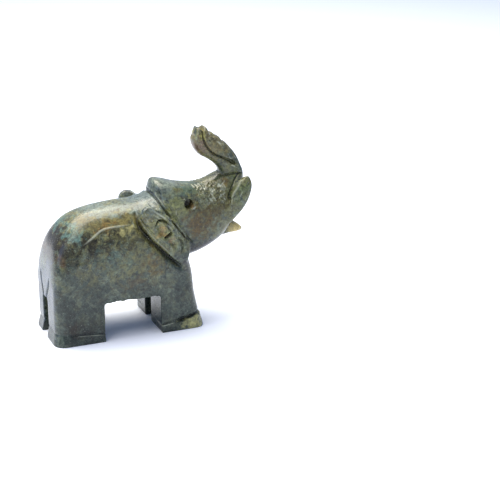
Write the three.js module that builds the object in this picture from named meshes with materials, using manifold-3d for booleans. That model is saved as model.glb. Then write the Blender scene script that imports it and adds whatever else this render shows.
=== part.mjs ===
// A trumpeting elephant carved from one block of green soapstone. Millimetres, +Z up, head towards +X.
// It is made in the carver's order: the body, the legs and the head are roughed out of the block, the
// gaps between the legs are sawn through, and the hollows and lines are cut last.
import * as THREE from "three";
import { mergeVertices } from "three/addons/utils/BufferGeometryUtils.js";
import Module from "manifold-3d";

// Driving dimensions
const HEIGHT = 100; // base to trunk tip; the pose, in x and z, is given in hundredths of it
const BODY_WIDTH = 39;
const REAR_X = -54.5; // back of the hind legs
const TOE_X = 22; // front of the forelegs
const LEG_CORNER = 6; // rounding of the legs' upright outer corners
const FOOT_FLARE = 1; // how far the soles stand out past the legs
const FOOT_HEIGHT = 6.6;
const ANKLE_LINE = 0.9; // width of the line engraved over the toes
const ANKLE_DEPTH = 0.7;

const BELLY_HEIGHT = 20;
const GAP_REAR_X = -30; // front of the hind legs
const GAP_FRONT_X = -0.6; // back of the forelegs
const GAP_CORNER = 1.5;
const SLOT_WIDTH = 9; // between the left and the right legs
const SLOT_OFFSET = 1.9; // the slot was cut a little to the left of the middle
const SLOT_HEIGHT = 20;

const HEAD_WIDTH = 28;
const TRUNK_WIDTH = 11.4;
const TUSK_SPREAD = 19.6; // between the middles of the two tusks
const TUSK_THICKNESS = 5.8;
const LIP_WIDTH = 8.6;
const EAR_THICKNESS = 5;
const EAR_PROUD = 0.7; // how far the rear edge of the ear stands out past the flank
const EYE_DIAMETER = 4.5;
const EYE_DEPTH = 2.6;
const LINE_WIDTH = 1.4; // engraved lines
const EAR_GOUGE = 3.2; // the gouge that frees the rear edge of the ear
const TRUNK_GROOVE = 1.9;

const STONE = new THREE.MeshStandardMaterial({ color: 0x6c7566, roughness: 0.28, metalness: 0 });

const wasm = await Module();
wasm.setup();

const unit = HEIGHT / 100;
const rear = REAR_X / unit; // in hundredths of the height, as the pose is
const halfBody = BODY_WIDTH / 2;
const SAW_LENGTH = 4 * HEIGHT; // longer than the block in every direction
const RIGHT_AND_LEFT = [-1, 1];
const X = new THREE.Vector3(1, 0, 0);
const Y = new THREE.Vector3(0, 1, 0);
const Z = new THREE.Vector3(0, 0, 1);

// Point of the pose: x and z in hundredths of the height, y in millimetres.
const at = (x, y, z) => new THREE.Vector3(x * unit, y, z * unit);

// Closed three.js geometry as a manifold solid.
function solid(geometry) {
  const bare = new THREE.BufferGeometry();
  bare.setAttribute("position", geometry.getAttribute("position").clone());
  if (geometry.index) bare.setIndex(geometry.index.clone());
  const merged = mergeVertices(bare, 1e-4);
  const triVerts = new Uint32Array(merged.index.array);
  const vertProperties = merged.getAttribute("position").array;
  return new wasm.Manifold(new wasm.Mesh({ numProp: 3, vertProperties, triVerts }));
}

// Manifold solid as a three.js geometry.
function geometryOf(manifold) {
  const { vertProperties, triVerts } = manifold.getMesh();
  const geometry = new THREE.BufferGeometry();
  geometry.setAttribute("position", new THREE.BufferAttribute(new Float32Array(vertProperties), 3));
  geometry.setIndex(new THREE.BufferAttribute(new Uint32Array(triVerts), 1));
  return geometry;
}

const union = (solids) => solids.reduce((whole, next) => whole.add(next));

// Outline sawn straight through the block. across and up are the block's directions for the outline's
// own x and y, and through is the saw's.
function sawn(shape, across, up, through, length = SAW_LENGTH) {
  const geometry = new THREE.ExtrudeGeometry(shape, { depth: length, bevelEnabled: false, curveSegments: 6 });
  geometry.translate(0, 0, -length / 2);
  return solid(geometry.applyMatrix4(new THREE.Matrix4().makeBasis(across, up, through)));
}

const fromSide = (shape) => sawn(shape, X, Z, Y.clone().negate());
const fromFront = (shape) => sawn(shape, Y, Z, X);
const fromAbove = (shape, length) => sawn(shape, X, Y, Z, length);

function roundedBox(left, bottom, right, top, radius) {
  const shape = new THREE.Shape();
  shape.absarc(right - radius, bottom + radius, radius, -Math.PI / 2, 0);
  shape.absarc(right - radius, top - radius, radius, 0, Math.PI / 2);
  shape.absarc(left + radius, top - radius, radius, Math.PI / 2, Math.PI);
  shape.absarc(left + radius, bottom + radius, radius, Math.PI, 1.5 * Math.PI);
  shape.closePath();
  return shape;
}

// Point of a superellipse with half axes of 1. A squareness of 2 is a circle, and more is squarer.
function superellipse(angle, squareness) {
  const bend = (v) => (Math.abs(v) < 1e-9 ? 0 : Math.sign(v) * Math.abs(v) ** (2 / squareness));
  return [bend(Math.cos(angle)), bend(Math.sin(angle))];
}

// Rib of a form that lies in the middle plane, from its outer edge to its inner edge in the side view.
function rib(outer, inner, half, square) {
  return { a: at(outer[0], 0, outer[1]), b: at(inner[0], 0, inner[1]), half, square };
}

// Closed skin stretched over ribs. A rib runs from edge point a to edge point b, half is its half
// thickness, and square its squareness. The two ends are flat.
function skin(ribs, around, along) {
  const edgeA = new THREE.CatmullRomCurve3(ribs.map((one) => one.a));
  const edgeB = new THREE.CatmullRomCurve3(ribs.map((one) => one.b));
  const girth = new THREE.CatmullRomCurve3(ribs.map((one) => new THREE.Vector3(one.half, one.square, 0)));
  const middle = (t) => edgeA.getPoint(t).add(edgeB.getPoint(t)).multiplyScalar(0.5);
  const geometry = new THREE.CylinderGeometry(1, 1, 1, around, along);
  const position = geometry.getAttribute("position");
  const step = 1e-3;
  for (let i = 0; i < position.count; i++) {
    const t = THREE.MathUtils.clamp(position.getY(i) + 0.5, 0, 1);
    const reach = Math.hypot(position.getX(i), position.getZ(i));
    const [half, square] = girth.getPoint(t).toArray();
    const [outward, sideward] = superellipse(Math.atan2(position.getX(i), position.getZ(i)), square);
    const halfRib = edgeA.getPoint(t).sub(edgeB.getPoint(t)).multiplyScalar(0.5);
    const heading = middle(Math.min(1, t + step)).sub(middle(Math.max(0, t - step)));
    const thickness = heading.cross(halfRib).normalize().multiplyScalar(half);
    const p = middle(t).addScaledVector(halfRib, outward * reach);
    p.addScaledVector(thickness, sideward * reach);
    position.setXYZ(i, p.x, p.y, p.z);
  }
  return solid(geometry);
}

// Barrel of the body. Its ribs fan round the rump and then stand upright along the back.
function barrel() {
  const ribs = [
    rib([rear, 22], [-8, 22], halfBody, 8),
    rib([rear + 0.2, 35], [-8, 32], halfBody, 6.5),
    rib([-51.4, 48.4], [-10, 22], halfBody, 4),
    rib([-44, 58.6], [-17, 13], halfBody, 3),
    rib([-35, 63.2], [-22, 9], halfBody, 2.7),
    rib([-22, 65], [-17, 8], halfBody, 2.7),
    rib([-8, 65.8], [-6, 8], halfBody, 2.7),
    rib([4, 66.6], [5, 8], halfBody, 2.7),
    rib([12, 58], [13, 10], halfBody * 0.93, 3),
    rib([15, 46], [15.6, 14], halfBody * 0.82, 3.4),
  ];
  return skin(ribs, 30, 20);
}

// Outline of the four legs together, seen from above.
function legPlan(inset = 0, front = TOE_X) {
  const side = halfBody - inset;
  return roundedBox(REAR_X + inset, -side, front - inset, side, LEG_CORNER - inset);
}

// Legs, not yet parted, up to where the barrel is full. The breast slopes back over the toes.
function legs() {
  const profile = new THREE.Shape();
  profile.moveTo(REAR_X, -FOOT_HEIGHT);
  profile.lineTo(REAR_X, 30 * unit);
  profile.lineTo(-50 * unit, 37 * unit);
  profile.lineTo(6 * unit, 37 * unit);
  profile.lineTo(10 * unit, 42 * unit);
  profile.lineTo(14.4 * unit, 42 * unit);
  const shin = [[16, 37], [17.4, 30], [18.5, 20], [20.4, 9], [TOE_X / unit, 0]];
  profile.splineThru(shin.map(([x, z]) => new THREE.Vector2(x * unit, z * unit)));
  profile.lineTo(TOE_X, -FOOT_HEIGHT);
  profile.closePath();
  return fromSide(profile).intersect(fromAbove(legPlan()));
}

// Feet, not yet parted, that flare out to the soles.
function feet() {
  const settings = {
    depth: FOOT_FLARE,
    bevelThickness: FOOT_HEIGHT,
    bevelSize: FOOT_FLARE,
    bevelSegments: 2,
    curveSegments: 6,
  };
  const flared = new THREE.ExtrudeGeometry(legPlan(), settings);
  return solid(flared.translate(0, 0, -FOOT_FLARE));
}

// Shoulders that carry the head and the roots of the ears.
function yoke() {
  const ribs = [
    rib([-10, 64.2], [-10, 40], halfBody * 0.74, 2.5),
    rib([-6, 65.6], [-2, 38], halfBody * 0.82, 3),
    rib([-2, 66.8], [6, 37], halfBody * 0.84, 3.2),
    rib([1.4, 68.4], [14, 39], halfBody * 0.82, 3.2),
    rib([3.4, 69], [17.6, 42], halfBody * 0.78, 3),
  ];
  return skin(ribs, 24, 8);
}

function head() {
  const half = HEAD_WIDTH / 2;
  const ribs = [
    rib([0.1, 70.6], [15, 35], half * 0.82, 2.5),
    rib([2.1, 74.7], [20, 34.2], half * 0.94, 2.7),
    rib([8, 74.2], [26.6, 36.2], half, 2.8),
    rib([16, 71.9], [32.4, 39.2], half, 2.8),
    rib([24, 70.8], [37.4, 42.4], half * 0.96, 2.7),
    rib([31, 71.9], [41.6, 47], half * 0.86, 2.6),
    rib([38, 75], [45, 52], half * 0.7, 2.5),
    rib([44, 76], [47.2, 58], half * 0.5, 2.5),
  ];
  return skin(ribs, 26, 17);
}

function trunk() {
  const half = TRUNK_WIDTH / 2;
  const ribs = [
    rib([48.6, 56], [28, 62], half * 1.12, 2.6),
    rib([50.6, 66], [33.6, 69.6], half * 1.12, 2.6),
    rib([50.9, 74], [37.6, 74], half * 1.08, 2.7),
    rib([49.4, 78.6], [37.6, 76.9], half * 1.04, 2.7),
    rib([46.6, 84.4], [35, 80], half, 2.7),
    rib([42.2, 89.9], [31.2, 82.9], half * 0.97, 2.6),
    rib([37.8, 94], [27.4, 85.3], half * 0.97, 2.6),
    rib([34, 96.6], [24.6, 89], half * 0.96, 2.6),
    rib([31.9, 98.6], [23.7, 93.6], half * 0.92, 2.5),
    rib([30.2, 100], [25.8, 98.2], half * 0.7, 2.3),
  ];
  return skin(ribs, 18, 23);
}

// Lower lip, pointing forward under the trunk.
function lip() {
  const half = LIP_WIDTH / 2;
  const ribs = [
    rib([36, 51], [37, 40.8], half, 2.4),
    rib([43, 49.6], [42.8, 41.7], half * 0.96, 2.4),
    rib([47.4, 47], [47.2, 41.9], half * 0.72, 2.3),
    rib([50, 44.8], [49.6, 42.3], half * 0.42, 2.2),
    rib([51, 43.6], [50.8, 43], half * 0.14, 2),
  ];
  return skin(ribs, 14, 10);
}

// Tusk on one side: a broad crescent that grows out of the cheek and stands free at its tip. Each row
// holds its outer and inner edge, its share of the spread, and its share of the thickness.
function tusk(side) {
  const rows = [
    [[37, 45.5], [30, 53], 0.66, 0.9],
    [[42.6, 51.6], [34.6, 57.6], 0.9, 1.1],
    [[47.4, 57.4], [38.6, 61.8], 1.03, 1.05],
    [[50.6, 63], [41.6, 66.2], 1.04, 1],
    [[52.4, 68.6], [45.2, 70.8], 0.99, 0.9],
    [[51.8, 72.2], [48.2, 73.3], 0.95, 0.56],
    [[50.9, 73.6], [49.9, 73.8], 0.92, 0.16],
  ];
  const ribs = rows.map(([outer, inner, spread, share]) => {
    const y = (side * spread * TUSK_SPREAD) / 2;
    const half = (share * TUSK_THICKNESS) / 2;
    return { a: at(outer[0], y, outer[1]), b: at(inner[0], y, inner[1]), half, square: 2.5 };
  });
  return skin(ribs, 14, 14);
}

// Ear on one side: a flap that hangs from the shoulder to the breast, with its front edge sunk in the
// neck. Each row holds its front and rear edge, how far out the front edge is, and the thickness share.
function ear(side) {
  const rows = [
    [[3.6, 61.7], [-7, 66], 0.86, 0.7],
    [[5.4, 60.2], [-9.2, 64.6], 0.86, 0.9],
    [[8.4, 57.4], [-9.9, 61], 0.86, 1],
    [[11, 54], [-7.2, 57], 0.87, 1],
    [[13.6, 50.2], [-3.2, 51.7], 0.88, 1],
    [[15.4, 46.6], [1.2, 45.9], 0.9, 1],
    [[16, 43], [5.8, 39.9], 0.94, 1],
    [[15.4, 39.6], [9.8, 34.6], 0.98, 0.9],
    [[14.4, 36], [12, 33], 1, 0.4],
  ];
  const rearY = side * (halfBody + EAR_PROUD - EAR_THICKNESS / 2);
  const ribs = rows.map(([front, rear, out, share]) => {
    const half = (share * EAR_THICKNESS) / 2;
    return { a: at(front[0], rearY * out, front[1]), b: at(rear[0], rearY, rear[1]), half, square: 3.4 };
  });
  return skin(ribs, 14, 15);
}

// Opening under the belly, sawn from side to side.
function bellyGap() {
  return fromSide(roundedBox(GAP_REAR_X, -2 * GAP_CORNER, GAP_FRONT_X, BELLY_HEIGHT, GAP_CORNER));
}

// Slot between the left and the right legs, sawn from end to end.
function legSlot() {
  const right = SLOT_OFFSET - SLOT_WIDTH / 2;
  const left = SLOT_OFFSET + SLOT_WIDTH / 2;
  return fromFront(roundedBox(right, -2 * GAP_CORNER, left, SLOT_HEIGHT, GAP_CORNER));
}

// Line sawn round one pair of feet, from a height at one x to a height at another.
function ankleLine(from, to, front, depth) {
  const start = at(from[0], 0, from[1]);
  const end = at(to[0], 0, to[1]);
  const sheet = new THREE.BoxGeometry(start.distanceTo(end), 2 * BODY_WIDTH, ANKLE_LINE);
  sheet.rotateY(-Math.atan2(end.z - start.z, end.x - start.x));
  const middle = start.add(end).multiplyScalar(0.5);
  sheet.translate(middle.x, 0, middle.z);
  return solid(sheet).subtract(fromAbove(legPlan(depth, front)));
}

const pairs = RIGHT_AND_LEFT.flatMap((side) => [tusk(side), ear(side)]);
const rough = union([barrel(), legs(), feet(), yoke(), head(), trunk(), lip(), ...pairs]);
const bothFaces = new THREE.MeshBasicMaterial({ side: THREE.DoubleSide });
const roughMesh = new THREE.Mesh(geometryOf(rough), bothFaces);
const ray = new THREE.Raycaster();

// First point of the rough stone that a tool meets on its way in.
function touch(origin, direction) {
  ray.set(origin, direction);
  const [hit] = ray.intersectObject(roughMesh);
  return hit ? hit.point : origin;
}

// Point of the surface on one side of the elephant, at a place in the side view.
const onSide = (x, z, side) => touch(at(x, side * HEIGHT, z), Y.clone().multiplyScalar(-side));

// Line cut along points of the surface by a round-nosed tool.
function engraved(points, width) {
  const nose = new THREE.Shape();
  nose.absarc(0, 0, width / 2, 0, 2 * Math.PI);
  const settings = {
    steps: 2 * (points.length - 1),
    extrudePath: new THREE.CatmullRomCurve3(points),
    curveSegments: 4,
    bevelEnabled: false,
  };
  return solid(new THREE.ExtrudeGeometry(nose, settings));
}

const sideLine = (places, side, width) => engraved(places.map(([x, z]) => onSide(x, z, side)), width);

// Line between the head and the ear, from the crest to the throat.
function browLine(side) {
  const places = [[1.4, 68.4], [3.6, 64.2], [6.6, 59.8], [10.2, 54.4], [14.4, 48.8], [18.4, 44]];
  return sideLine(places, side, LINE_WIDTH * 1.5);
}

// Gouge in the shoulder that follows the rear edge of the ear.
function earGouge(side) {
  const upper = [[-10.2, 63.6], [-10.4, 60], [-8.8, 55.8], [-4.8, 50.4]];
  const lower = [[0.4, 44.9], [5.6, 39.6], [10.4, 34.6]];
  return sideLine([...upper, ...lower], side, EAR_GOUGE);
}

// Scoops in the face of the ear. Each row holds the place and the half sizes.
function earScoops(side) {
  const rows = [
    [1.2, 54.4, 3.5, 1.8, 4.5],
    [6.2, 47.6, 2.4, 1.4, 3.6],
  ];
  return rows.map(([x, z, ...halves]) => {
    const scoop = new THREE.SphereGeometry(1, 10, 7);
    scoop.scale(halves[0] * unit, halves[1], halves[2] * unit);
    scoop.rotateY(THREE.MathUtils.degToRad(-35));
    return solid(scoop.translate(...onSide(x, z, side).toArray()));
  });
}

// Short curved line in front of the scoops.
function earLine(side) {
  return sideLine([[9.8, 49], [11.2, 46.8], [11.4, 44.4], [10.6, 42.2]], side, LINE_WIDTH * 0.7);
}

function eye(side) {
  const drill = new THREE.CylinderGeometry(EYE_DIAMETER / 2, EYE_DIAMETER / 2, 2 * EYE_DEPTH, 16);
  return solid(drill.translate(...onSide(17.2, 63.8, side).toArray()));
}

// Long groove down the side of the trunk, from the notch in its tip.
function trunkGroove(side) {
  const upper = [[28.2, 98], [28.6, 95], [29.6, 91.6], [31.7, 88.2]];
  const lower = [[34.7, 85.8], [38.5, 83.8], [41.8, 81.8], [44.6, 79.8]];
  return sideLine([...upper, ...lower], side, TRUNK_GROOVE);
}

const trunkFold = (side) => sideLine([[39.2, 74.5], [43.4, 74.7], [47.6, 74.5]], side, LINE_WIDTH * 0.8);

// Notch between the two lobes of the trunk's tip.
function tipNotch() {
  const saw = new THREE.CylinderGeometry(TRUNK_GROOVE / 2, TRUNK_GROOVE / 2, 2 * TRUNK_WIDTH, 8);
  return solid(saw.translate(...at(28.5, 0, 99.3).toArray()));
}

// Two lines on the rump that leave the tail standing between them, down to the slot.
function tailLine(side) {
  const rows = [[33, 7.6], [28, 6], [23.5, 3.6], [19.5, 1.9]];
  const top = rows[0][0];
  const points = rows.map(([z, half]) => {
    const drift = (SLOT_OFFSET * (top - z)) / (top - SLOT_HEIGHT / unit);
    return touch(at(-HEIGHT, drift + side * half, z), X);
  });
  return engraved(points, LINE_WIDTH);
}

const cuts = [
  bellyGap(),
  legSlot(),
  ankleLine([-60, 6.2], [-28, 4.2], TOE_X, ANKLE_DEPTH / 2),
  ankleLine([-2, 4], [26, 8.4], 20.6 * unit, ANKLE_DEPTH),
  tipNotch(),
  ...RIGHT_AND_LEFT.flatMap((side) => [
    browLine(side),
    earGouge(side),
    ...earScoops(side),
    earLine(side),
    eye(side),
    trunkGroove(side),
    trunkFold(side),
    tailLine(side),
  ]),
];
const slab = fromAbove(roundedBox(-HEIGHT, -HEIGHT, HEIGHT, HEIGHT, GAP_CORNER), HEIGHT);
const ground = slab.translate([0, 0, -HEIGHT / 2]);
const carved = rough.subtract(union(cuts)).subtract(ground);

const elephant = new THREE.Mesh(geometryOf(carved), STONE);
elephant.name = "elephant";
const middleOfBox = new THREE.Box3().setFromObject(elephant).getCenter(new THREE.Vector3());
elephant.position.set(-middleOfBox.x, -middleOfBox.y, 0);

const sculpture = new THREE.Group();
sculpture.add(elephant);
export default sculpture;
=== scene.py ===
"""A polished soapstone elephant with its trunk raised, as carved from one block and waxed.

The forms are roughed out in millimetres in the carver's frame, run together into one stone, cut and
engraved, and then brought to the row frame, in metres. Head towards +X, soles at z = 0.
"""

import logging
import math
import random
from dataclasses import dataclass, field
from enum import Enum

import bmesh
import bpy
import numpy as np
from mathutils import Matrix, Vector


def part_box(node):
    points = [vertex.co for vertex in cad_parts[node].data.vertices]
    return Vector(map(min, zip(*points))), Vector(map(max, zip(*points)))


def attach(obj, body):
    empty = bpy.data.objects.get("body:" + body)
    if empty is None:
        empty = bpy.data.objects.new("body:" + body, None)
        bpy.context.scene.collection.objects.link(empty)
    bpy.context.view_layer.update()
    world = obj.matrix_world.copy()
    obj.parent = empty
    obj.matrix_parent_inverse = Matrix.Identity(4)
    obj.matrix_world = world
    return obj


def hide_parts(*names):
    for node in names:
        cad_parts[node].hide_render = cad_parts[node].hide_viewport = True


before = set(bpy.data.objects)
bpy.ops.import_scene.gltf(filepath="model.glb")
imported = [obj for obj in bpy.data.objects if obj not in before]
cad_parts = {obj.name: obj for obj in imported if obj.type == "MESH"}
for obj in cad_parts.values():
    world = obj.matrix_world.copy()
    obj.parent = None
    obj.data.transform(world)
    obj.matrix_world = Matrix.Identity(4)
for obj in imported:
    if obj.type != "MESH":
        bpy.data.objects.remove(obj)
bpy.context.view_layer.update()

log = logging.getLogger("elephant")

MM = 0.001
Point2 = tuple[float, float]
Point3 = tuple[float, float, float]
Piece = bpy.types.Object
Source = bpy.types.Node | bpy.types.NodeSocket


class Side(Enum):
    """The elephant's two sides, with the sign of y on each."""

    RIGHT = -1
    LEFT = 1


def linear(hex_colour: str) -> tuple[float, float, float, float]:
    """Turns an sRGB hex colour to the linear colour that a shader takes.

    Args:
        hex_colour: Six hex digits after a hash sign.

    Returns:
        Linear red, green, blue and an alpha of 1.
    """
    parts = [int(hex_colour[i:i + 2], 16) / 255 for i in (1, 3, 5)]
    bent = [p / 12.92 if p <= 0.04045 else ((p + 0.055) / 1.055) ** 2.4 for p in parts]
    return (bent[0], bent[1], bent[2], 1.0)


def smoothstep(low: float, high: float, value: np.ndarray) -> np.ndarray:
    """Rises smoothly from 0 at low to 1 at high.

    Args:
        low: Value where the step starts.
        high: Value where the step ends.
        value: Values to place on the step.

    Returns:
        The step at each value.
    """
    t = np.clip((value - low) / (high - low), 0.0, 1.0)
    return t * t * (3 - 2 * t)


def spline(points: np.ndarray, t: np.ndarray) -> np.ndarray:
    """Smooth curve through points.

    Args:
        points: One row for each point.
        t: Places along the curve, from 0 to 1.

    Returns:
        One row for each place.
    """
    last = len(points) - 1
    scaled = np.clip(t, 0.0, 1.0) * last
    index = np.minimum(scaled.astype(int), last - 1)
    f = (scaled - index)[:, None]
    padded = np.vstack([2 * points[0] - points[1], points, 2 * points[-1] - points[-2]])
    p0, p1, p2, p3 = (padded[index + k] for k in range(4))
    bend = 2 * p1 + (p2 - p0) * f + (2 * p0 - 5 * p1 + 4 * p2 - p3) * f**2
    return 0.5 * (bend + (3 * p1 - p0 - 3 * p2 + p3) * f**3)


@dataclass(frozen=True)
class Rib:
    """One rib of a form, seen from the side, in millimetres.

    outer and inner are the x and z of its two edges, half is its half thickness, square its
    squareness (2 is an ellipse), and y how far out each edge lies.
    """

    outer: Point2
    inner: Point2
    half: float
    square: float = 2.6
    y: Point2 = (0.0, 0.0)

    def middle(self) -> Point3:
        """Point halfway between the two edges."""
        (outer_x, outer_z), (inner_x, inner_z) = self.outer, self.inner
        return ((outer_x + inner_x) / 2, sum(self.y) / 2, (outer_z + inner_z) / 2)


@dataclass(frozen=True)
class Stroke:
    """One line or hollow cut in the side of the stone, in millimetres.

    places are x and z in the side view. depth is negative for a ridge that is left standing. Towards
    its start the cut keeps the share start of its size, and towards its end the share end. steep
    squeezes the side of the cut that lies on the left of its direction. The tool reaches only stone
    that lies least_y or more from the middle plane. The last field is how dark waxing and painted
    shade make the cut, or below 0 how pale the rubbed or scratched stone and painted highlights make
    it.
    """

    places: tuple[Point2, ...]
    width: float
    depth: float
    start: float = 0.2
    end: float = 0.2
    steep: float = 1.0
    least_y: float = 2.5
    wear_shade_and_highlight: float = 0.45


@dataclass
class Chisel:
    """Working tools: they add, cut and run together meshes in the carver's millimetres."""

    voxel: float = 0.36
    most_triangles: int = 188000

    def only(self, piece: Piece) -> None:
        """Selects one object and makes it the active one.

        Args:
            piece: The object.
        """
        bpy.ops.object.select_all(action="DESELECT")
        piece.select_set(True)
        bpy.context.view_layer.objects.active = piece

    def tidy_shell(self, piece: Piece) -> None:
        """Closes a shell's seam and ends, and turns its faces outwards.

        Args:
            piece: The shell.
        """
        self.only(piece)
        bpy.ops.object.mode_set(mode="EDIT")
        bpy.ops.mesh.select_all(action="SELECT")
        bpy.ops.mesh.remove_doubles(threshold=1e-4)
        bpy.ops.mesh.fill_holes(sides=0)
        bpy.ops.mesh.select_all(action="SELECT")
        bpy.ops.mesh.normals_make_consistent(inside=False)
        bpy.ops.object.mode_set(mode="OBJECT")

    def skin(self, name: str, ribs: list[Rib], around: int = 64, along: int = 60) -> Piece:
        """Wraps a sheet round a row of ribs.

        Args:
            name: Name of the new object.
            ribs: Ribs in order.
            around: Faces round each rib.
            along: Faces from the first rib to the last.

        Returns:
            A closed shell.
        """
        bpy.ops.object.select_all(action="DESELECT")
        bpy.ops.mesh.primitive_grid_add(x_subdivisions=around, y_subdivisions=along, size=1.0)
        piece = bpy.context.object
        piece.name = name
        flat = np.empty(len(piece.data.vertices) * 3)
        piece.data.vertices.foreach_get("co", flat)
        flat = flat.reshape(-1, 3)
        low, high = flat.min(axis=0), flat.max(axis=0)
        turn = (flat[:, 0] - low[0]) / (high[0] - low[0]) * 2 * math.pi
        t = (flat[:, 1] - low[1]) / (high[1] - low[1])
        edge_a = spline(np.array([[r.outer[0], r.y[0], r.outer[1]] for r in ribs]), t)
        edge_b = spline(np.array([[r.inner[0], r.y[1], r.inner[1]] for r in ribs]), t)
        girth = spline(np.array([[r.half, r.square] for r in ribs]), t)
        centre = (edge_a + edge_b) / 2
        half_rib = (edge_a - edge_b) / 2
        step = 1e-3
        after = self.centre_line(ribs, np.minimum(t + step, 1.0))
        before = self.centre_line(ribs, np.maximum(t - step, 0.0))
        across = np.cross(after - before, half_rib)
        across /= np.linalg.norm(across, axis=1)[:, None]
        power = 2 / girth[:, 1]
        cosine, sine = np.cos(turn), np.sin(turn)
        for wave in (cosine, sine):
            wave[np.abs(wave) < 1e-9] = 0.0
        outward = np.sign(cosine) * np.abs(cosine) ** power
        sideward = np.sign(sine) * np.abs(sine) ** power
        placed = centre + half_rib * outward[:, None] + across * (girth[:, 0] * sideward)[:, None]
        piece.data.vertices.foreach_set("co", placed.ravel())
        self.tidy_shell(piece)
        return piece

    def centre_line(self, ribs: list[Rib], t: np.ndarray) -> np.ndarray:
        """Middle of the ribs along a form, at places from 0 to 1."""
        return spline(np.array([rib.middle() for rib in ribs]), t)

    def box(self, name: str, low: Point3, high: Point3, bevel: float, segments: int, axis: int) -> Piece:
        """Adds a block whose edges along one axis are rounded.

        Args:
            name: Name of the new object.
            low: Lowest corner.
            high: Highest corner.
            bevel: Radius of the rounded edges.
            segments: Steps in each rounding.
            axis: 0, 1 or 2 for the axis that the rounded edges run along.

        Returns:
            The block.
        """
        bpy.ops.object.select_all(action="DESELECT")
        middle = [(a + b) / 2 for a, b in zip(low, high)]
        bpy.ops.mesh.primitive_cube_add(size=1.0)
        piece = bpy.context.object
        piece.name = name
        size = [b - a for a, b in zip(low, high)]
        piece.data.transform(Matrix.Translation(middle) @ Matrix.Diagonal((*size, 1.0)))
        bpy.ops.object.mode_set(mode="EDIT")
        bpy.ops.mesh.select_all(action="DESELECT")
        bpy.ops.mesh.select_mode(type="EDGE")
        mesh = bmesh.from_edit_mesh(piece.data)
        for edge in mesh.edges:
            run = edge.verts[1].co - edge.verts[0].co
            edge.select = abs(run[axis]) > 0.5 * size[axis]
        bmesh.update_edit_mesh(piece.data)
        bpy.ops.mesh.bevel(offset=bevel, segments=segments, affect="EDGES")
        bpy.ops.mesh.select_mode(type="VERT")
        bpy.ops.object.mode_set(mode="OBJECT")
        return piece

    def slice(self, piece: Piece, heights: list[float]) -> None:
        """Adds a ring of edges round a piece at each height.

        Args:
            piece: The piece.
            heights: Height of each ring.
        """
        self.only(piece)
        bpy.ops.object.mode_set(mode="EDIT")
        for height in heights:
            bpy.ops.mesh.select_all(action="SELECT")
            bpy.ops.mesh.bisect(plane_co=(0, 0, height), plane_no=(0, 0, 1))
        bpy.ops.object.mode_set(mode="OBJECT")

    def cut(self, piece: Piece, cutters: list[Piece]) -> None:
        """Cuts other objects out of a piece. The cutters stay, to be used again.

        Args:
            piece: The piece that is cut.
            cutters: Objects whose shapes are taken out of it.
        """
        for cutter in cutters:
            self.only(piece)
            modifier = piece.modifiers.new("cut", "BOOLEAN")
            modifier.operation = "DIFFERENCE"
            modifier.solver = "EXACT"
            modifier.object = cutter
            bpy.ops.object.modifier_apply(modifier=modifier.name)

    def run_together(self, name: str, pieces: list[Piece]) -> Piece:
        """Makes one closed skin over several overlapping shells.

        Args:
            name: Name of the result.
            pieces: Closed shells that overlap.

        Returns:
            One object.
        """
        bpy.ops.object.select_all(action="DESELECT")
        for piece in pieces:
            piece.select_set(True)
        bpy.context.view_layer.objects.active = pieces[0]
        bpy.ops.object.join()
        whole = bpy.context.object
        whole.name = name
        whole.data.name = name
        modifier = whole.modifiers.new("run together", "REMESH")
        modifier.mode = "VOXEL"
        modifier.voxel_size = self.voxel
        modifier.adaptivity = 0.0
        bpy.ops.object.modifier_apply(modifier=modifier.name)
        return whole

    def rub(self, piece: Piece, rounds: int, weights: np.ndarray | None = None) -> None:
        """Rubs a surface smooth, all over or by a weight for each vertex.

        Args:
            piece: The piece.
            rounds: How often it is rubbed.
            weights: How far each vertex gives way, from 0 to 1.
        """
        self.only(piece)
        modifier = piece.modifiers.new("rub", "SMOOTH")
        modifier.factor = 0.5
        modifier.iterations = rounds
        if weights is not None:
            group = piece.vertex_groups.new(name="rub")
            levels = np.round(np.clip(weights, 0, 1) * 8).astype(int)
            for level in range(1, 9):
                group.add(np.nonzero(levels == level)[0].tolist(), level / 8, "REPLACE")
            modifier.vertex_group = group.name
        bpy.ops.object.modifier_apply(modifier=modifier.name)
        piece.vertex_groups.clear()

    def thin_out(self, piece: Piece) -> None:
        """Takes faces out of the flat stretches until the piece is light enough.

        Args:
            piece: The piece.
        """
        triangles = sum(len(face.vertices) - 2 for face in piece.data.polygons)
        if triangles <= self.most_triangles:
            return
        self.only(piece)
        modifier = piece.modifiers.new("thin out", "DECIMATE")
        modifier.ratio = self.most_triangles / triangles
        bpy.ops.object.modifier_apply(modifier=modifier.name)


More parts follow.
